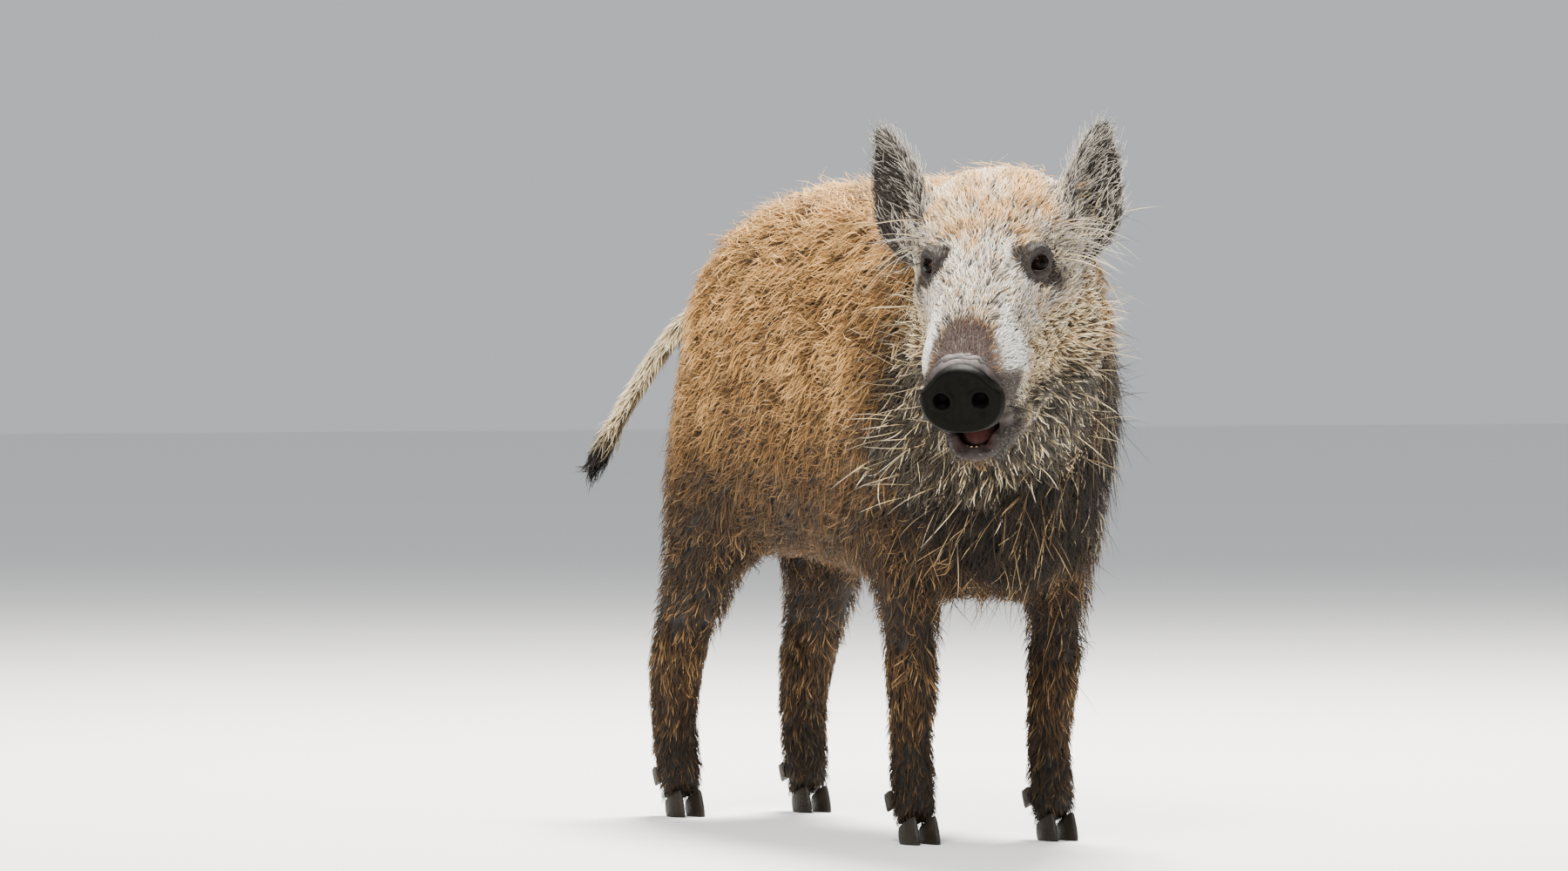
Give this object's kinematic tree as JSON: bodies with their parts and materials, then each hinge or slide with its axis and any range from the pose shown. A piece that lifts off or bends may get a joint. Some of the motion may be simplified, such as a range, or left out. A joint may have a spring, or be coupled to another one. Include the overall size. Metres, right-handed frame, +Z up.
{
  "type": "wild boar",
  "caption": "Life-size wild boar standing with its head turned to its right and its mouth a little open, made as a still museum-style model.",
  "frame": {"origin": "middle of the bounding box, on the floor under the hoof soles", "axes": "-Y is the way the boar's body faces, +X its left side, +Z up; the head is turned to -X"},
  "size_m": [0.4478, 1.1704, 0.8007],
  "materials": {
    "coat_tan": "hide with a dense coat of ochre and brown hair",
    "coat_dark": "hide with a dark brown coat",
    "coat_grey": "hide with a short grizzled grey and straw coat",
    "snout_skin": "bare dark gristle, slightly moist",
    "horn": "dark horn",
    "mouth": "moist tongue",
    "eye": "wet and glossy"
  },
  "bodies": {
    "root": {"dewclaw_fore_left_inner": "horn", "dewclaw_fore_left_outer": "horn", "dewclaw_fore_right_inner": "horn", "dewclaw_fore_right_outer": "horn", "dewclaw_hind_left_inner": "horn", "dewclaw_hind_left_outer": "horn", "dewclaw_hind_right_inner": "horn", "dewclaw_hind_right_outer": "horn", "ear_left": "coat_grey", "ear_right": "coat_grey", "eye_left": "eye", "eye_right": "eye", "head": "coat_grey", "hoof_fore_left_inner": "horn", "hoof_fore_left_outer": "horn", "hoof_fore_right_inner": "horn", "hoof_fore_right_outer": "horn", "hoof_hind_left_inner": "horn", "hoof_hind_left_outer": "horn", "hoof_hind_right_inner": "horn", "hoof_hind_right_outer": "horn", "leg_fore_left_lower": "coat_dark", "leg_fore_left_upper": "coat_dark", "leg_fore_right_lower": "coat_dark", "leg_fore_right_upper": "coat_dark", "leg_hind_left_lower": "coat_dark", "leg_hind_left_upper": "coat_dark", "leg_hind_right_lower": "coat_dark", "leg_hind_right_upper": "coat_dark", "lower_jaw": "coat_grey", "neck": "coat_tan", "snout_disc": "snout_skin", "tail": "coat_tan", "tail_tuft": "coat_dark", "tongue": "mouth", "trunk": "coat_tan"}
  },
  "joints": []
}
